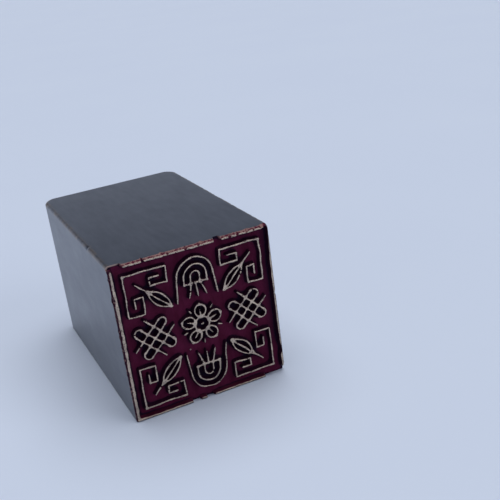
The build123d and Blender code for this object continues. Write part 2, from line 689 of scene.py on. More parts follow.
@dataclass(frozen=True)
class Arches(Ornament):
    """Nested arches on a sill, the outer one on long splayed feet, with a comb below."""

    count: int = 3
    splay_share: float = 0.055
    sill_drop_share: float = 0.17
    comb_spread_share: float = 0.22
    comb_end_share: float = 0.45

    def lines(self) -> list[RaisedLine]:
        """Draws each arch as one line over its crown, then the sill and the comb's three lines.

        Returns:
            The lines, round the middle of the cell.
        """
        step = self.cell / 2 / self.count
        outer = self.cell / 2 - self.splay_share * self.cell
        spring = self.cell / 2 - outer
        sill = spring - self.sill_drop_share * self.cell
        drawn = []
        for number in range(self.count):
            radius = outer - number * step
            outermost = number == 0
            low = -self.cell / 2 if outermost else sill
            spread = self.cell / 2 if outermost else radius
            crown = arc((0, spring), radius, 0, 180)
            path = np.concatenate([line((spread, low)), crown, line((-spread, low))])
            drawn.append(RaisedLine(path, LineEnd.POINTED, closed=not outermost))
        half = outer - step
        drawn.append(RaisedLine(line((-half, sill), (half, sill)), closed=True))
        for side in (-1, 0, 1):
            spread = side * self.comb_spread_share * self.cell
            tooth = line((spread / 2, sill), (spread, -self.comb_end_share * self.cell))
            drawn.append(RaisedLine(tooth, LineEnd.POINTED))
        return drawn


@dataclass(frozen=True)
class Knot(Ornament):
    """Three lines across three, with two ends of each three looped together on either side."""

    pitch_share: float = 0.21
    reach_share: float = 0.4
    tail_share: float = 0.09

    def lines(self) -> list[RaisedLine]:
        """Draws three level lines with their two loops, and the same again a quarter turn on.

        Returns:
            The lines, round the middle of the cell.
        """
        pitch = self.pitch_share * self.cell
        reach = self.reach_share * self.cell
        tail = self.tail_share * self.cell
        three = []
        for row in (-1, 0, 1):
            ahead = reach + tail if row == -1 else reach
            behind = reach + tail if row == 1 else reach
            three.append(RaisedLine(line((-behind, row * pitch), (ahead, row * pitch))))
        three.append(RaisedLine(arc((reach, pitch / 2), pitch / 2, -90, 180), closed=True))
        three.append(RaisedLine(arc((-reach, -pitch / 2), pitch / 2, 90, 180), closed=True))
        return [part.placed(turn, (0, 0)) for turn in (45, 135) for part in three]


@dataclass(frozen=True)
class Fret(Ornament):
    """Two hooked arms that leave one corner, and a ribbed leaf on the diagonal between them."""

    step_share: float = 0.19
    hook_share: float = 0.41
    leaf_start_share: float = 0.5
    leaf_end_share: float = 1.0
    leaf_rise_share: float = 0.135
    rib_start_share: float = 0.26

    def lines(self) -> list[RaisedLine]:
        """Draws both arms, the rib and the leaf's two bowed lines from the corner they leave.

        Returns:
            The lines, round the middle of the cell.
        """
        size = self.cell
        step = self.step_share * size
        hook = size - self.hook_share * size
        arm = [(0, 0), (size, 0), (size, -2 * step), (hook, -2 * step), (hook, -step), (size - step, -step)]
        other = [(-down, -across) for across, down in arm]
        root = (self.leaf_start_share * size, -self.leaf_start_share * size)
        tip = (self.leaf_end_share * size, -self.leaf_end_share * size)
        rib = (self.rib_start_share * size, -self.rib_start_share * size)
        rise = self.leaf_rise_share * size
        drawn = [RaisedLine(line(*arm)), RaisedLine(line(*other)), RaisedLine(line(rib, tip))]
        drawn += [RaisedLine(bowed(root, tip, side * rise), closed=True) for side in (1, -1)]
        return [part.placed(0, (-size / 2, size / 2)) for part in drawn]


@dataclass(frozen=True)
class RailPiece:
    """A stretch of the border along one side, from and to a share of the side's length.

    Each pair of the profile holds a share of the side's length and the share of the rail's
    width that wear has left there. Between two pairs the width changes evenly.
    """

    edge: Edge
    start_share: float
    end_share: float
    profile: tuple[Point, ...] = ((0.0, 1.0),)

    def width_share(self, along_share: Array) -> Array:
        """The share of the rail's width that is left at each share of the side's length."""
        places, widths = np.array(self.profile).T
        return np.interp(along_share, places, widths)


# The right rail is worn down to a stained spot near its lower end, and thins towards its upper one
RIGHT_PROFILE = (
    (0.12, 0.78),
    (0.15, 0.3),
    (0.17, 0.3),
    (0.2, 0.6),
    (0.3, 0.82),
    (0.75, 0.8),
    (0.88, 0.5),
    (0.92, 0.3),
)

BORDER = (
    RailPiece(Edge.LEFT, 0.0, 0.98, ((0.0, 0.82), (0.4, 0.9), (0.75, 0.94), (0.9, 0.82), (0.97, 0.72))),
    RailPiece(Edge.RIGHT, 0.03, 1.0, RIGHT_PROFILE),
    RailPiece(Edge.TOP, 0.085, 0.205),
    RailPiece(Edge.TOP, 0.212, 0.65),
    RailPiece(Edge.TOP, 0.69, 1.0, ((0.95, 1.0), (0.985, 0.5))),
    RailPiece(Edge.BOTTOM, 0.0, 0.37, ((0.0, 1.0), (0.08, 0.8))),
    RailPiece(Edge.BOTTOM, 0.42, 0.465, ((0.42, 0.8),)),
    RailPiece(Edge.BOTTOM, 0.51, 0.865, ((0.51, 0.8),)),
)


@dataclass(frozen=True)
class RimWear:
    """How one side of the rim has worn: its chamfer, how bare it is and how red its stains.

    The stain is that of the chamfer, and the wall is that of the rail's inner wall. Each is the share of red
    over the near black of painted shade.
    """

    chamfer: float
    rub: float
    stain: float
    wall: float


# The top is rubbed most and stained red most; the other chamfers and the left and right inner walls get
# little or no red, so they keep the painted shade's near black
RIM_WEAR = {
    Edge.LEFT: RimWear(chamfer=0.26, rub=0.16, stain=0.12, wall=0.0),
    Edge.RIGHT: RimWear(chamfer=0.16, rub=0.1, stain=0.1, wall=0.0),
    Edge.BOTTOM: RimWear(chamfer=0.2, rub=0.05, stain=0.05, wall=0.45),
    Edge.TOP: RimWear(chamfer=0.28, rub=0.6, stain=0.75, wall=0.6),
}


@dataclass(frozen=True)
class Border:
    """The broken border close to the outline, with its worn outer chamfer and its nicks.

    The rails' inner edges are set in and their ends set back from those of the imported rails,
    and both waver. The bites are spread over the sides by chance, in the order of Edge. The
    chamfer is rubbed least in its hollow middle and, over the shelter width, at the right
    end. Its colour fades into the top over one part in slope_fade of its width. Each kind of
    unevenness adds a number of its own to the seed.
    """

    face: FaceFrame
    widths: dict[Edge, float]
    seed: int = 40
    set_in: float = 0.05
    set_back: float = 0.12
    rounding: float = 0.26
    waver: float = 0.035
    waver_length: float = 1.7
    steepness: float = 1.15
    grain: float = 0.025
    grain_length: float = 0.8
    bite_count: int = 40
    bite_chances: tuple[float, ...] = (0.34, 0.06, 0.06, 0.54)
    bite_radii: Span = (0.12, 0.42)
    bite_depths: Span = (0.08, 0.3)
    top_nick_shares: tuple[float, ...] = (0.36, 0.47, 0.55, 0.75, 0.8, 0.86, 0.905, 0.95)
    nick_radii: Span = (0.1, 0.2)
    nick_depth: float = 0.22
    slope_fade: float = 4
    hollow_rub: float = 0.25
    shelter_width: float = 0.9
    patch_margin: float = 0.3
    sunk: float = 0.005
    step: float = 0.05

    def spread(self, u: Array, v: Array) -> dict[Edge, Array]:
        """How much each place belongs to each side: all to the nearest, mixed at a corner.

        Args:
            u: Places across.
            v: Places up, in the same shape.

        Returns:
            For each side, its share at each place. The four shares add up to 1.
        """
        near = {edge: self.face.half_side - (u * edge.value[0] + v * edge.value[1]) for edge in Edge}
        least = np.minimum.reduce(list(near.values()))
        share = {edge: np.clip(1 - (value - least) / self.rounding, 0, 1) for edge, value in near.items()}
        total = sum(share.values())
        return {edge: value / total for edge, value in share.items()}

    @staticmethod
    def mixed(spread: dict[Edge, Array], trait: Callable[[RimWear], float]) -> Array:
        """One trait of the sides' wear, mixed at each place by how much it belongs to each."""
        return sum(share * trait(RIM_WEAR[edge]) for edge, share in spread.items())

    def edge_distance(self, u: Array, v: Array) -> Array:
        """How far each place lies outside the rails' raised inner edges.

        For a piece it is the larger of the distance past the rail's width and the distance
        past either end, rounded where they are alike. An end at the corner of the face runs
        on to meet the next side. The pieces are joined by softer_min.

        Args:
            u: Places across.
            v: Places up, in the same shape.

        Returns:
            The signed distance at each place.
        """
        half = self.face.half_side
        total = np.full(u.shape, FAR)
        for number, piece in enumerate(BORDER):
            over, up = piece.edge.value
            across = half - (u * over + v * up)
            along = v if over else u
            start = piece.start_share * 2 * half - half if piece.start_share > 0 else -2 * half
            end = piece.end_share * 2 * half - half if piece.end_share < 1 else 2 * half
            uneven = self.waver * ripple(along, across, self.waver_length, self.seed + number)
            width = self.widths[piece.edge] * piece.width_share(0.5 + along / (2 * half))
            past_width = across - width + self.set_in + uneven
            past_end = np.maximum(start - along, along - end) + self.set_back + uneven
            own = softer_max(past_width, past_end, self.rounding)
            total = softer_min(total, np.minimum(own, FAR), self.rounding)
        return total

    def chamfer(self, u: Array, v: Array) -> Array:
        """How far in the worn outer edge reaches: each side's own chamfer, ripples and bites.

        Args:
            u: Places across.
            v: Places up, in the same shape.

        Returns:
            The chamfer's width at each place.
        """
        rng = np.random.default_rng(self.seed + 20)
        half = self.face.half_side
        run = rng.uniform(-half, half, self.bite_count)
        sides = rng.choice(len(Edge), self.bite_count, p=self.bite_chances)
        edges = np.array([edge.value for edge in Edge])[sides]
        places = edges * half + edges[:, ::-1] * run[:, None]
        radii = rng.uniform(*self.bite_radii, self.bite_count)
        depths = rng.uniform(*self.bite_depths, self.bite_count)
        base = self.mixed(self.spread(u, v), lambda wear: wear.chamfer)
        uneven = self.grain * ripple(u, v, self.grain_length, self.seed + 21)
        return base + uneven + dents(u, v, places, radii, depths)

    def top_nicks(self, u: Array, v: Array) -> Array:
        """The depth of the small nicks across the top rail, at chosen shares of its side.

        Args:
            u: Places across.
            v: Places up, in the same shape.

        Returns:
            The summed depth at each place.
        """
        rng = np.random.default_rng(self.seed + 30)
        half = self.face.half_side
        across = (2 * np.array(self.top_nick_shares) - 1) * half
        up = np.full_like(across, half - self.widths[Edge.TOP] / 2)
        radii = rng.uniform(*self.nick_radii, len(across))
        return dents(u, v, np.stack([across, up], 1), radii, np.full_like(across, self.nick_depth))

    def height(self, u: Array, v: Array) -> Array:
        """The height over the ground, where the chamfer and the nicks take off the cut profile.

        It is the lower of the cut profile and a slope that falls outwards from the chamfer's
        inner end by its steepness, less the nicks, and never below the ground.

        Args:
            u: Places across.
            v: Places up, in the same shape.

        Returns:
            The height at each place.
        """
        raised = CutProfile(self.face.relief).height(self.edge_distance(u, v))
        taken = np.maximum(self.chamfer(u, v) - self.face.inset(u, v), 0)
        left = np.minimum(raised, self.face.relief - self.steepness * taken)
        return np.clip(left - self.top_nicks(u, v), 0, None)

    def build(self, edge: Edge, node: str) -> bpy.types.Object:
        """Builds one side's rails as a closed relief; an upright side keeps the corners.

        Args:
            edge: The side.
            node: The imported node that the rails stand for.

        Returns:
            The finished piece, not yet dressed.
        """
        half = self.face.half_side
        band = max(self.widths.values()) + self.patch_margin
        if edge in (Edge.LEFT, Edge.RIGHT):
            low, high = (half - band, -half), (half, half)
        else:
            low, high = (-half + band, half - band), (half - band, half)
        grid = Grid.over(low, high, self.step)
        if edge is Edge.LEFT:
            grid = Grid(-grid.u[::-1], grid.v)
        if edge is Edge.BOTTOM:
            grid = Grid(grid.u, -grid.v[:, ::-1])
        height = self.height(grid.u, grid.v)
        spread = self.spread(grid.u, grid.v)
        # The share of the chamfer's width, from 0 at the outline to 1 at its inner end
        share = self.face.inset(grid.u, grid.v) / self.chamfer(grid.u, grid.v)
        slope = np.clip(self.slope_fade - self.slope_fade * share, 0, 1)
        crests = self.hollow_rub + (1 - self.hollow_rub) * np.abs(2 * np.clip(share, 0, 1) - 1)
        shelter = np.clip((half - grid.u) / self.shelter_width, 0, 1)
        rub = self.mixed(spread, lambda wear: wear.rub) * slope * crests * shelter
        # The red over the painted shade's near black: the chamfer's stain, then the inner wall's
        stain = self.mixed(spread, lambda wear: wear.stain) * slope
        stain += self.mixed(spread, lambda wear: wear.wall) * (1 - slope)
        relief = Relief(self.face, grid, height, cells_at(height > LEAST_HEIGHT), self.sunk)
        return relief.build(node + "_cut", {"rub": rub, "stain": stain})


@dataclass(frozen=True)
class GroundColour:
    """The colour brushed over the sunk ground, which climbs a little at every wall.

    Painted shade darkens it in a band along the right rail, down to a share of the half side
    below the middle of the face. The band is full over band_flat of its width and fades over
    the next whole width. Nibs of metal stand up through the film, clear of the raised work.
    Lengths are in millimetres.
    """

    face: FaceFrame
    thickness: float
    unevenness: float = 0.22
    uneven_length: float = 0.9
    uneven_stretch: float = 0.3
    climb: float = 0.05
    climb_reach: float = 0.14
    rim_reach: float = 0.15
    rim_share: float = 0.15
    hidden_share: float = 0.6
    band_width: float = 1.15
    band_flat: float = 0.3
    band_foot_share: float = 0.62
    shade_band_depth: float = 0.5
    top_reach: float = 0.1
    # These set the painted shade in closed cells and at the foot of walls
    blur: float = 0.45
    open_cover: float = 0.23
    cover_range: float = 0.13
    foot_shade: float = 0.6
    foot_reach: float = 0.16
    nib_count: int = 6
    nib_area_share: float = 0.86
    nib_radii: Span = (0.13, 0.2)
    nib_height: float = 0.28
    nib_clearance: float = 0.5
    lip_reach: float = 0.2
    seed: int = 60
    step: float = 0.125

    def painted_shade_share(self, distance: Array) -> Array:
        """How much painted shade blackens the colour, from 0 in the open to 1 in a closed cell.

        The raised tops are blurred by a bell curve in the frequency plane. What they then
        cover, less what they cover in the open, over a range, is the share of painted shade, so a
        closed cell is painted black as shade. The foot of a wall gets painted shade too, by a share that
        dies away from it.

        Args:
            distance: The distance to the nearest raised edge.

        Returns:
            The share of black at each place.
        """
        covered = (distance < self.top_reach).astype(float)
        pace_u = np.fft.fftfreq(distance.shape[0], self.step)[:, None]
        pace_v = np.fft.rfftfreq(distance.shape[1], self.step)[None, :]
        bell = np.exp(-2 * (np.pi * self.blur) ** 2 * (pace_u**2 + pace_v**2))
        blurred = np.fft.irfft2(np.fft.rfft2(covered) * bell, s=distance.shape)
        # Painted shade at the foot of each wall, fading away from it
        close = np.exp(-np.maximum(distance, 0) / self.foot_reach)
        return np.clip((blurred - self.open_cover) / self.cover_range, 0, 1) + self.foot_shade * close

    def band(self, grid: Grid, rail_width: float) -> Array:
        """How far each place lies in the band of painted shade beside the right rail.

        Args:
            grid: The places.
            rail_width: The right rail's width.

        Returns:
            A share from 0 outside the band to 1 within it.
        """
        half = self.face.half_side
        from_rail = half - rail_width - grid.u
        across = np.clip(1 + self.band_flat - from_rail / self.band_width, 0, 1)
        return across * np.clip((grid.v + self.band_foot_share * half) / self.band_width, 0, 1)

    def build(self, node: str, ornaments: list[Ornament], border: Border) -> bpy.types.Object:
        """Builds the colour as one thin closed relief with a hole under all raised work.

        Args:
            node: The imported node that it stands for.
            ornaments: The raised ornaments.
            border: The raised border.

        Returns:
            The finished piece, not yet dressed.
        """
        half = self.face.half_side
        grid = Grid.over((-half, -half), (half, half), self.step)
        profile = CutProfile(self.face.relief)
        distance = border.edge_distance(grid.u, grid.v)
        for ornament in ornaments:
            distance = np.minimum(distance, ornament.edge_distance(grid.u, grid.v))
        hidden = profile.height(distance) > self.face.relief * self.hidden_share
        rng = np.random.default_rng(self.seed)
        spot = half * self.nib_area_share
        places = rng.uniform(-spot, spot, (self.nib_count, 2))
        radii = rng.uniform(*self.nib_radii, self.nib_count)
        nib = dents(grid.u, grid.v, places, radii, np.ones(self.nib_count))
        nib = np.clip(nib * (distance > self.nib_clearance), 0, 1)
        inset = self.face.inset(grid.u, grid.v)
        lip = self.face.lip(grid.u, grid.v) * np.exp(-((inset / self.lip_reach) ** 2))
        ripples = ripple(grid.u, self.uneven_stretch * grid.v, self.uneven_length, self.seed + 1)
        film = self.thickness * (1 + self.unevenness * ripples)
        climb = self.climb * np.exp(-np.maximum(distance - profile.wall_run, 0) / self.climb_reach)
        rim = np.clip(inset / self.rim_reach, self.rim_share, 1)
        skin = (film + climb) * rim + self.nib_height * nib
        relief = Relief(self.face, grid, skin, cells_at(~hidden), border.sunk)
        # The painted shade: closed cells, wall feet and the band along the right rail
        band = self.band(grid, border.widths[Edge.RIGHT])
        painted_shade = np.clip(self.painted_shade_share(distance) + self.shade_band_depth * band, 0, 1)
        return relief.build(node + "_brushed", {"painted_shade": painted_shade, "nib": np.maximum(nib, lip)})


@dataclass(frozen=True)
class SealBar:
    """The bar behind the face: a square section with worn arrises and round rear corners.

    Each arris wavers, and is dinged at random places clear of both ends. Both ends are closed
    by rings, each a share of the end's own size. Lengths are in millimetres.
    """

    face: FaceFrame
    rear_radius: float = 2.5
    rim_radius: float = 0.3
    waver: float = 0.03
    waver_length: float = 1.9
    fade: float = 1.0
    ding_count: int = 9
    ding_radii: Span = (0.15, 0.5)
    ding_depths: Span = (0.05, 0.22)
    ding_share: float = 0.6
    clear_of_face: float = 2.0
    clear_of_rear: float = 3.0
    wear_gain: float = 2.0
    cap_shares: tuple[float, ...] = (0.97, 0.7, 0.35, 0.001)
    pole_reach: float = 0.03
    row_step: float = 0.14
    bend_steps: int = 28
    arris_steps: int = 8
    flat_steps: int = 14
    seed: int = 80

    def rows(self) -> Array:
        """Places along the bar: even steps, then even angles round the rear corner.

        Returns:
            The places, from the face to the rear end.
        """
        start = self.face.ground_y
        bend = self.face.rear_y - self.rear_radius
        count = math.ceil((bend - start) / self.row_step)
        angle = np.linspace(0, np.pi / 2, self.bend_steps + 1)[1:]
        return np.concatenate([np.linspace(start, bend, count + 1), bend + self.rear_radius * np.sin(angle)])

    @staticmethod
    def drawn_in(along: Array, end: float, radius: float) -> Array:
        """How far a side has come in at each place: a quarter circle that meets the end."""
        past = np.clip((along - end + radius) / radius, 0, 1)
        return radius * (1 - np.sqrt(1 - past**2))

    def arris(self, along: Array, corner: int, usual: float) -> Array:
        """The radius along one arris: the usual one, plus ripples and dings that fade in.

        Args:
            along: Places along the bar.
            corner: The arris's number, which sets its own random draws.
            usual: The radius where nothing has worn it.

        Returns:
            The radius at each place.
        """
        rng = np.random.default_rng(self.seed + corner)
        level = np.zeros_like(along)
        first, last = along[0] + self.clear_of_face, along[-1] - self.clear_of_rear
        # Each ding lies on the line of the arris, so its second place is zero
        places = rng.uniform(first, last, (self.ding_count, 1)) * np.array([1.0, 0.0])
        radii = rng.uniform(*self.ding_radii, self.ding_count)
        depths = rng.uniform(*self.ding_depths, self.ding_count)
        uneven = self.waver * ripple(along, level, self.waver_length, self.seed + corner)
        uneven = uneven + self.ding_share * dents(along, level, places, radii, depths)
        return usual + np.clip((along - along[0]) / self.fade, 0, 1) * uneven

    def section(self, along: Array) -> tuple[Array, Array]:
        """The bar's outline at each row: a rectangle with an arc at each corner.

        The half width follows the rear corners and the half height the rear rim.

        Args:
            along: Places along the bar.

        Returns:
            The outline's places across and up, and how worn each is: 0 on a flat side, and on
            an arris 1 plus a gain times what its radius has grown.
        """
        half = self.face.half_side
        half_x = half - self.drawn_in(along, self.face.rear_y, self.rear_radius)
        half_z = half - self.drawn_in(along, self.face.rear_y, self.rim_radius)
        angles = np.linspace(0, np.pi / 2, self.arris_steps + 1)
        # The places across a flat side crowd towards its two arrises
        share = 0.5 - 0.5 * np.cos(np.pi * np.linspace(0, 1, self.flat_steps + 1))[1:-1]
        arcs, worn = [], []
        for corner, (side_x, side_z) in enumerate(((1, -1), (1, 1), (-1, 1), (-1, -1))):
            usual = float(self.face.radius(side_x, side_z))
            radius = self.arris(along, corner, usual)[:, None]
            turn = corner * np.pi / 2 - np.pi / 2 + angles
            x = side_x * (half_x[:, None] - radius) + radius * np.cos(turn)
            z = side_z * (half_z[:, None] - radius) + radius * np.sin(turn)
            arcs.append(np.stack([x, z], -1))
            worn.append(np.repeat(1 + self.wear_gain * (radius - usual), len(angles), axis=1))
        outline, wear = [], []
        for corner in range(len(arcs)):
            start, end = arcs[corner][:, -1:, :], arcs[(corner + 1) % len(arcs)][:, :1, :]
            outline += [arcs[corner], start + share[:, None] * (end - start)]
            wear += [worn[corner], np.zeros((len(along), len(share)))]
        return np.concatenate(outline, 1), np.concatenate(wear, 1)

    def build(self, node: str) -> bpy.types.Object:
        """Builds the bar from its section carried along its length, with a cap on each end.

        Args:
            node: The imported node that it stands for.

        Returns:
            The finished piece, not yet dressed.
        """
        along = self.rows()
        outline, wear = self.section(along)
        columns = outline.shape[1]
        level = np.broadcast_to(along[:, None], outline.shape[:2])
        skin = np.stack([outline[..., 0], level, outline[..., 1] + self.face.centre_z], -1)
        caps = []
        for row in (0, -1):
            centre = np.array([0, along[row], self.face.centre_z])
            caps.append([centre + share * (skin[row] - centre) for share in self.cap_shares])
        layers = np.stack([*caps[0][::-1], *skin, *caps[1]])
        number = np.arange(len(layers) * columns).reshape(len(layers), columns)
        after = np.roll(number, -1, axis=1)
        sides = np.stack([number[:-1], after[:-1], after[1:], number[1:]], -1).reshape(-1, 4)
        first = len(self.cap_shares)
        front = np.stack([number[first], after[first]], 1)
        still = np.zeros((first, columns))
        places = layers.reshape(-1, 3)
        lip = self.face.lip(places[:, 0], places[:, 2] - self.face.centre_z)
        values = {
            "arris": np.concatenate([still, wear, still]).ravel(),
            "lip": lip * (places[:, 1] < along[0] + self.row_step / 2),
        }
        piece = write_mesh(node + "_turned", places, sides[:, ::-1], front, values, {})
        self.close_poles(piece)
        return piece

    def close_poles(self, piece: bpy.types.Object) -> None:
        """Merges each cap's innermost ring into one point, so that the bar is closed.

        Args:
            piece: The bar, which is changed.
        """
        mesh = bmesh.new()
        mesh.from_mesh(piece.data)
        bmesh.ops.remove_doubles(mesh, verts=mesh.verts, dist=self.pole_reach * METRES)
        bmesh.ops.recalc_face_normals(mesh, faces=mesh.faces)
        mesh.to_mesh(piece.data)
        mesh.free()


def add(
    tree: bpy.types.NodeTree,
    kind: str,
    inputs: dict[str | int, Any] | None = None,
    **settings: Any,
) -> bpy.types.Node:
    """Adds a node, sets what it is given and links what comes from another node.

    Args:
        tree: The node tree.
        kind: The node's type.
        inputs: For each named or numbered input a value, an output, or a node whose first
            output is meant.
        **settings: The node's own settings.

    Returns:
        The node.
    """
    node = tree.nodes.new(kind)
    for label, value in settings.items():
        setattr(node, label, value)
    for label, given in (inputs or {}).items():
        value = given.outputs[0] if isinstance(given, bpy.types.Node) else given
        if isinstance(value, bpy.types.NodeSocket):
            tree.links.new(value, node.inputs[label])
        else:
            node.inputs[label].default_value = value
    return node


class Finish(ABC):
    """A finish of a real material; each kind works out what one shader reads."""

    name: str

    @abstractmethod
    def inputs(self, tree: bpy.types.NodeTree) -> dict[str, Any]:
        """What the Principled shader reads, by the names of its inputs."""

    def material(self) -> bpy.types.Material:
        """Makes the material round one Principled shader.

        Returns:
            The material.
        """
        made = bpy.data.materials.new(self.name)
        made.use_nodes = True
        tree = made.node_tree
        tree.nodes.clear()
        shader = add(tree, "ShaderNodeBsdfPrincipled", self.inputs(tree))
        add(tree, "ShaderNodeOutputMaterial", {"Surface": shader})
        return made

    @staticmethod
    def pattern(
        tree: bpy.types.NodeTree,
        size: float,
        ends: Span = SOFT,
        stretch: tuple[float, float, float] = (1.0, 1.0, 1.0),
        detail: float = 2.0,
    ) -> bpy.types.Node:
        """Lays a noise over the object, in its own frame.

        Args:
            tree: The node tree.
            size: The length of a grain in millimetres.
            ends: The noise's values that give 0 and 1.
            stretch: What x, y and z are multiplied by; less than 1 draws the grains out.
            detail: How many finer layers are added.

        Returns:
            A node whose first output runs from 0 to 1.
        """
        place = add(tree, "ShaderNodeTexCoord").outputs["Object"]
        place = add(tree, "ShaderNodeMapping", {"Vector": place, "Scale": stretch})
        noise = {"Vector": place, "Scale": 1 / (size * METRES), "Detail": detail}
        value = add(tree, "ShaderNodeTexNoise", noise)
        return add(tree, "ShaderNodeMapRange", {"Value": value, "From Min": ends[0], "From Max": ends[1]})

    @staticmethod
    def layered(tree: bpy.types.NodeTree, ground: Any, *layers: tuple[Any, Any]) -> bpy.types.NodeSocket:
        """Lays colours or values over a ground, one after another.

        Args:
            tree: The node tree.
            ground: The lowest colour or value.
            *layers: For each layer, from the lowest up, how much it covers and what it is.

        Returns:
            What shows.
        """
        for share, colour in layers:
            mix = {"Factor": share, 6: ground, 7: colour}
            ground = add(tree, "ShaderNodeMix", mix, data_type="RGBA").outputs[2]
        return ground


class GrainedFinish(Finish):
    """A finish whose surface has a fine grain."""

    grain_mm: float
    grain_depth_mm: float
    grain_strength: float

    def grained(self, tree: bpy.types.NodeTree, detail: float = 1.0) -> bpy.types.Node:
        """Roughens the surface by the finish's own size, depth and strength of grain.

        Args:
            tree: The node tree.
            detail: How many finer layers the grain has.

        Returns:
            A node whose first output is the normal.
        """
        bump = {
            "Height": self.pattern(tree, self.grain_mm, GRAIN, detail=detail),
            "Strength": self.grain_strength,
            "Distance": self.grain_depth_mm * METRES,
        }
        return add(tree, "ShaderNodeBump", bump)


@dataclass(frozen=True)
class PatinatedBrass(GrainedFinish):
    """Brass, milled and blasted to satin, then darkened in a sulphide bath.

    The eye gets a cool grey metal that mirrors the room as a soft haze, faintly clouded and
    streaked along the bar, with the brown of rubbed patina along the arrises.
    """

    name: str = "brass_blasted_and_darkened"
    light: str = "61656F"
    dark: str = "4E525D"
    rubbed: str = "7A6E66"
    bare: str = "A8988C"
    pitted: str = "3A3B40"
    cloud_mm: float = 3.5
    streak_mm: float = 0.8
    streak_share: float = 0.5
    patch_mm: float = 1.6
    pit_mm: float = 0.75
    # A blast leaves finer pits than this; they are drawn as coarse as they need to show
    grain_mm: float = 0.11
    grain_depth_mm: float = 0.02
    grain_strength: float = 0.12
    cloud_stretch: tuple[float, float, float] = (1.0, 0.5, 1.0)
    streak_stretch: tuple[float, float, float] = (1.0, 0.2, 1.0)
    pit_ends: Span = (0.76, 0.79)
    roughness: float = 0.3
    roughness_swing: float = 0.015
    metallic: float = 0.92

    def clouded(self, tree: bpy.types.NodeTree) -> bpy.types.NodeSocket:
        """The patina's colour: soft clouds, mixed with fine streaks along the bar.

        Args:
            tree: The node tree.

        Returns:
            The colour.
        """
        cloud = self.pattern(tree, self.cloud_mm, stretch=self.cloud_stretch)
        streak = self.pattern(tree, self.streak_mm, stretch=self.streak_stretch)
        share = self.layered(tree, cloud, (self.streak_share, streak))
        return self.layered(tree, linear(self.dark), (share, linear(self.light)))

    def inputs(self, tree: bpy.types.NodeTree) -> dict[str, Any]:
        """Clouds the patina, rubs the arrises and the lip, and pits it here and there.

        Args:
            tree: The node tree.

        Returns:
            What the shader reads.
        """
        read = [add(tree, "ShaderNodeAttribute", attribute_name=label) for label in ("arris", "lip")]
        arris, lip = (node.outputs["Fac"] for node in read)
        patches = {0: arris, 1: self.pattern(tree, self.patch_mm)}
        worn = add(tree, "ShaderNodeMath", patches, operation="MULTIPLY", use_clamp=True)
        colour = self.layered(
            tree,
            self.clouded(tree),
            (worn, linear(self.rubbed)),
            (self.pattern(tree, self.pit_mm, self.pit_ends), linear(self.pitted)),
            (lip, linear(self.bare)),
        )
        rough = {
            "Value": self.pattern(tree, self.cloud_mm),
            "To Min": self.roughness + self.roughness_swing,
            "To Max": self.roughness - self.roughness_swing,
        }
        return {
            "Base Color": colour,
            "Metallic": self.metallic,
            "Roughness": add(tree, "ShaderNodeMapRange", rough),
            "Normal": self.grained(tree),
        }


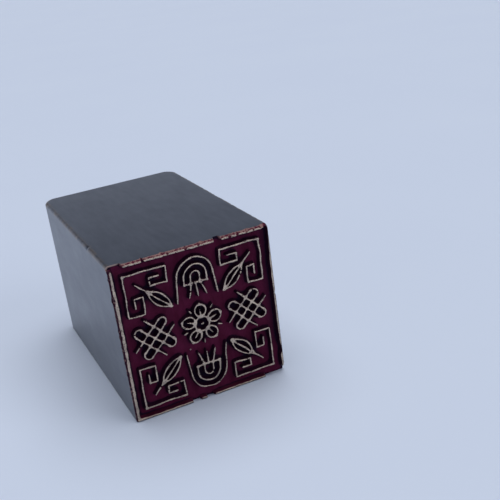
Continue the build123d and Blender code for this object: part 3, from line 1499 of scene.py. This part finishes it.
@dataclass(frozen=True)
class CutBrass(GrainedFinish):
    """Brass cut in relief: tops sanded bare on a flat plate, walls drawn near black as painted shade.

    The eye gets thin pale warm lines, broken by flecks, on walls painted almost black as shade. The
    rim's chamfer is stained red, and rubbed pink and bare in places, and its outside keeps the bar's patina.
    """

    plane_y: float
    patina: PatinatedBrass = PatinatedBrass()
    name: str = "brass_cut_and_sanded"
    bare: str = "D2BFAC"
    handled: str = "A8988C"
    rubbed: str = "8A6A66"
    # The near black of the walls is painted shade
    shade_black: str = "24081E"
    red: str = "5E1E34"
    bare_depth_mm: float = 0.06
    fleck_mm: float = 0.16
    patch_mm: float = 0.4
    handled_mm: float = 1.3
    # Sanding leaves finer scratches than this; they are drawn as coarse as they need to show
    grain_mm: float = 0.09
    grain_depth_mm: float = 0.015
    grain_strength: float = 0.15
    fleck_ends: Span = (0.64, 0.56)
    patch_ends: Span = (0.25, 0.75)
    rubbed_ends: Span = (0.72, 0.9)
    least_rub: float = 0.05
    wall_roughness: float = 0.65
    top_roughness: float = 0.4
    shine: float = 0.08

    def inputs(self, tree: bpy.types.NodeTree) -> dict[str, Any]:
        """Finds the bare tops by their depth, then the rubbed rim, then the patinated outside.

        Args:
            tree: The node tree.

        Returns:
            What the shader reads.
        """
        read = [add(tree, "ShaderNodeAttribute", attribute_name=label) for label in ("rub", "stain", "skin")]
        rub, stain, skin = (node.outputs["Fac"] for node in read)
        place = add(tree, "ShaderNodeTexCoord").outputs["Object"]
        depth = {
            "Value": add(tree, "ShaderNodeSeparateXYZ", {"Vector": place}).outputs["Y"],
            "From Min": (self.plane_y + self.bare_depth_mm) * METRES,
            "From Max": (self.plane_y + self.bare_depth_mm / 3) * METRES,
        }
        flecked = {
            0: add(tree, "ShaderNodeMapRange", depth),
            1: self.pattern(tree, self.fleck_mm, self.fleck_ends),
        }
        top = add(tree, "ShaderNodeMath", flecked, operation="MULTIPLY", use_clamp=True)
        patches = {0: rub, 1: self.pattern(tree, self.patch_mm, self.patch_ends)}
        patches = add(tree, "ShaderNodeMath", patches, operation="ADD", use_clamp=True)
        ends = {"Value": patches, "From Min": self.rubbed_ends[0], "From Max": self.rubbed_ends[1]}
        rubbed = {
            0: add(tree, "ShaderNodeMapRange", ends),
            1: add(tree, "ShaderNodeMapRange", {"Value": rub, "From Max": self.least_rub}),
        }
        handled = self.pattern(tree, self.handled_mm)
        # The lowest colour is the painted shade's near black; the red stain, the rubbed rim, the bare tops
        # and the patina lie over it
        colour = self.layered(
            tree,
            linear(self.shade_black),
            (stain, linear(self.red)),
            (add(tree, "ShaderNodeMath", rubbed, operation="MULTIPLY", use_clamp=True), linear(self.rubbed)),
            (top, self.layered(tree, linear(self.handled), (handled, linear(self.bare)))),
            (skin, self.patina.clouded(tree)),
        )
        cut = {"Value": top, "To Min": self.wall_roughness, "To Max": self.top_roughness}
        rough = {
            "Value": skin,
            "To Min": add(tree, "ShaderNodeMapRange", cut),
            "To Max": self.patina.roughness,
        }
        return {
            "Base Color": colour,
            "Metallic": add(tree, "ShaderNodeMath", {0: top, 1: skin}, operation="MAXIMUM", use_clamp=True),
            "Roughness": add(tree, "ShaderNodeMapRange", rough),
            "Specular IOR Level": self.shine,
            "Normal": self.grained(tree),
        }


@dataclass(frozen=True)
class BrushedLacquer(GrainedFinish):
    """Dark red lacquer brushed thinly over a cut ground.

    The eye gets a matt wine red with faint streaks, which painted shade turns black in closed
    cells, at the foot of walls and along the right rail.
    """

    name: str = "lacquer_brushed_wine_red"
    red: str = "450A26"
    thin: str = "551534"
    # The black of the painted shade
    shade_black: str = "16051E"
    metal: str = "9A8680"
    streak_mm: float = 1.4
    streak_ends: Span = (0.3, 0.72)
    streak_stretch: tuple[float, float, float] = (1.0, 1.0, 0.4)
    shade_noise_mm: float = 0.5
    shade_noise_ends: Span = (0.0, 1.0)
    least_shade: float = 0.55
    nib_ends: Span = (0.35, 0.8)
    # The lacquer's own grain is finer; it is drawn as coarse as it needs to show
    grain_mm: float = 0.14
    grain_depth_mm: float = 0.02
    grain_strength: float = 0.25
    roughness: float = 0.7
    shine: float = 0.08

    def inputs(self, tree: bpy.types.NodeTree) -> dict[str, Any]:
        """Streaks the red, blackens it with the painted shade and bares the nibs of metal.

        Args:
            tree: The node tree.

        Returns:
            What the shader reads.
        """
        read = [add(tree, "ShaderNodeAttribute", attribute_name=label) for label in ("painted_shade", "nib")]
        painted_shade, nib = (node.outputs["Fac"] for node in read)
        # A noise makes the painted shade uneven before it blackens the red
        uneven = {0: self.pattern(tree, self.shade_noise_mm, self.shade_noise_ends), 1: self.least_shade}
        uneven = add(tree, "ShaderNodeMath", uneven, operation="ADD", use_clamp=True)
        ends = {"Value": nib, "From Min": self.nib_ends[0], "From Max": self.nib_ends[1]}
        streak = self.pattern(tree, self.streak_mm, self.streak_ends, self.streak_stretch)
        shaded = add(tree, "ShaderNodeMath", {0: painted_shade, 1: uneven}, operation="MULTIPLY", use_clamp=True)
        colour = self.layered(
            tree,
            linear(self.red),
            (streak, linear(self.thin)),
            (shaded, linear(self.shade_black)),
            (add(tree, "ShaderNodeMapRange", ends), linear(self.metal)),
        )
        return {
            "Base Color": colour,
            "Roughness": self.roughness,
            "Specular IOR Level": self.shine,
            "Normal": self.grained(tree, detail=2.0),
        }


@dataclass(frozen=True)
class PaintedTable(Finish):
    """A smooth table painted pale blue grey. The eye gets an even matt colour."""

    name: str = "table_painted_pale"
    colour: str = "D1DBED"
    light: str = "D3DDEE"
    cloud_mm: float = 60.0
    roughness: float = 0.7
    shine: float = 0.2

    def inputs(self, tree: bpy.types.NodeTree) -> dict[str, Any]:
        # No red lies on an ornament, so its walls keep the painted shade's near black
        """Gives the table its one colour, faintly clouded.

        Args:
            tree: The node tree.

        Returns:
            What the shader reads.
        """
        cloud = self.pattern(tree, self.cloud_mm, GRAIN)
        return {
            "Base Color": self.layered(tree, linear(self.colour), (cloud, linear(self.light))),
            "Roughness": self.roughness,
            "Specular IOR Level": self.shine,
        }


@dataclass(frozen=True)
class StampFace:
    """The whole cut face: nine ornaments, the border's four sides and the ground's colour.

    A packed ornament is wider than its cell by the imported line's width, half on each side.
    """

    face: FaceFrame
    line_width: float = 0.4
    first_seed: int = 100
    seed_step: int = 50

    def ornaments(self) -> list[Ornament]:
        """Reads where the ornaments stand.

        Returns:
            The ornaments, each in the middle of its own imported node.
        """
        low, high = measured("top_left_fret")
        cell = high[0] - low[0] - self.line_width
        kinds: list[tuple[type[Ornament], str, float]] = [
            (Blossom, "centre_blossom", 0),
            (Arches, "top_arches", 0),
            (Arches, "bottom_arches", 180),
            (Knot, "left_knot", 0),
            (Knot, "right_knot", 180),
            (Fret, "top_left_fret", 0),
            (Fret, "top_right_fret", -90),
            (Fret, "bottom_right_fret", 180),
            (Fret, "bottom_left_fret", 90),
        ]
        made = []
        for number, (kind, node, turn) in enumerate(kinds):
            low, high = measured(node)
            middle = ((low[0] + high[0]) / 2, (low[2] + high[2]) / 2 - self.face.centre_z)
            made.append(kind(node, middle, cell, turn, seed=self.first_seed + self.seed_step * number))
        return made

    def border(self) -> Border:
        """Reads how wide the rails are.

        Returns:
            The border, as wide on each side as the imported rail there.
        """
        widths = {}
        for edge in Edge:
            low, high = measured(edge.name.lower() + "_border_rail")
            widths[edge] = high[0] - low[0] if edge in (Edge.LEFT, Edge.RIGHT) else high[2] - low[2]
        return Border(self.face, widths)

    def build(self) -> dict[str, tuple[bpy.types.Object, str]]:
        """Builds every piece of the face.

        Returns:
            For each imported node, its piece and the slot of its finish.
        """
        ornaments, border = self.ornaments(), self.border()
        pieces = {}
        for ornament in ornaments:
            pieces[ornament.node] = (ornament.build(self.face), "raised_metal")
        for edge in Edge:
            node = edge.name.lower() + "_border_rail"
            pieces[node] = (border.build(edge, node), "raised_metal")
        low, high = measured("ground_colour")
        colour = GroundColour(self.face, high[1] - low[1])
        pieces["ground_colour"] = (colour.build("ground_colour", ornaments, border), "ground_colour")
        return pieces


@dataclass(frozen=True)
class PhotoCamera:
    """The camera of the photograph, fitted to the bar's edges, in millimetres and degrees.

    It sees what lies between the two ends of its clip, in metres.
    """

    azimuth: float = -23.157
    elevation: float = 21.338
    roll: float = -7.481
    distance: float = 144.256
    aim: tuple[float, float, float] = (18.003, 0.25, 12.911)
    lens: float = 58.25
    sensor: float = 36.0
    clip: Span = (0.01, 50.0)

    def build(self) -> None:
        """Places the camera: back from its aim, level first, then rolled about its view."""
        azimuth, elevation, roll = (math.radians(turn) for turn in (self.azimuth, self.elevation, self.roll))
        flat = math.cos(elevation)
        back = Vector((math.sin(azimuth) * flat, -math.cos(azimuth) * flat, math.sin(elevation)))
        right = (-back).cross(Vector((0, 0, 1))).normalized()
        up = right.cross(-back)
        across = right * math.cos(roll) + up * math.sin(roll)
        above = up * math.cos(roll) - right * math.sin(roll)
        data = bpy.data.cameras.new("photo_camera")
        data.lens, data.sensor_width = self.lens, self.sensor
        data.clip_start, data.clip_end = self.clip
        camera = bpy.data.objects.new("photo_camera", data)
        turn = Matrix((across, above, back)).transposed().to_4x4()
        camera.matrix_world = Matrix.Translation((Vector(self.aim) + back * self.distance) * METRES) @ turn
        bpy.context.scene.collection.objects.link(camera)
        bpy.context.scene.camera = camera


@dataclass(frozen=True)
class Lamp:
    """A far soft lamp that lights the whole table evenly.

    Its direction and the width of its disc are in degrees. Its power is what reaches a
    surface that faces it, in watts for a square metre.
    """

    name: str
    azimuth: float
    elevation: float
    width: float
    power: float

    def build(self) -> None:
        """Turns the lamp so that its light comes from its direction."""
        flat = math.cos(math.radians(self.elevation))
        turn = math.radians(self.azimuth)
        way = Vector((math.sin(turn) * flat, -math.cos(turn) * flat, math.sin(math.radians(self.elevation))))
        data = bpy.data.lights.new(self.name, "SUN")
        data.angle, data.energy = math.radians(self.width), self.power
        lamp = bpy.data.objects.new(self.name, data)
        lamp.rotation_euler = way.to_track_quat("Z", "Y").to_euler()
        lamp.location = way
        bpy.context.scene.collection.objects.link(lamp)


@dataclass(frozen=True)
class Studio:
    """A pale table under soft light, in a room that is brighter low down than high up.

    The room changes between its two rises, each the sine of an angle over the level.
    """

    lamps: tuple[Lamp, ...] = (
        Lamp("key", azimuth=150, elevation=80, width=62, power=2.2),
        Lamp("front_fill", azimuth=40, elevation=25, width=40, power=0.5),
    )
    low_room: str = "BFC8D9"
    high_room: str = "2E394E"
    low_rise: float = 0.24
    high_rise: float = 0.43
    table_radius: float = 3.0

    def build(self) -> None:
        """Builds the table, the room's light and the lamps."""
        radius = self.table_radius
        mesh = bpy.data.meshes.new("table")
        corners = [(-radius, -radius, 0), (radius, -radius, 0), (radius, radius, 0), (-radius, radius, 0)]
        mesh.from_pydata(corners, [], [(0, 1, 2, 3)])
        table = bpy.data.objects.new("table", mesh)
        bpy.context.scene.collection.objects.link(table)
        mesh.materials.append(PaintedTable().material())
        world = bpy.data.worlds.new("room")
        world.use_nodes = True
        tree = world.node_tree
        tree.nodes.clear()
        way = add(tree, "ShaderNodeTexCoord").outputs["Generated"]
        rise = add(tree, "ShaderNodeSeparateXYZ", {"Vector": way}).outputs["Z"]
        ends = {"Value": rise, "From Min": self.low_rise, "From Max": self.high_rise}
        share = add(tree, "ShaderNodeMapRange", ends)
        colour = Finish.layered(tree, linear(self.low_room), (share, linear(self.high_room)))
        light = add(tree, "ShaderNodeBackground", {"Color": colour, "Strength": 1.0})
        add(tree, "ShaderNodeOutputWorld", {"Surface": light})
        bpy.context.scene.world = world
        for lamp in self.lamps:
            lamp.build()


def main() -> None:
    """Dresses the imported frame: the bar, the face, the camera and the studio, in that order."""
    logging.basicConfig(level=logging.INFO, format="%(name)s: %(message)s")
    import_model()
    face = FaceFrame.from_nodes()
    finishes = {
        "patinated_bar": PatinatedBrass().material(),
        "raised_metal": CutBrass(face.plane_y).material(),
        "ground_colour": BrushedLacquer().material(),
    }
    pieces = {"seal_bar": (SealBar(face).build("seal_bar"), "patinated_bar")}
    pieces.update(StampFace(face).build())
    for node, (piece, slot) in pieces.items():
        piece.data.materials.append(finishes[slot])
        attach(piece, ROOT)
        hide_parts(node, *ALSO_STANDS_FOR.get(node, ()))
        LOG.info("%s: %d faces stand for %s", piece.name, len(piece.data.polygons), node)
    PhotoCamera().build()
    Studio().build()
    bpy.context.scene.view_settings.view_transform = "Standard"


if __name__ == "__main__":
    main()
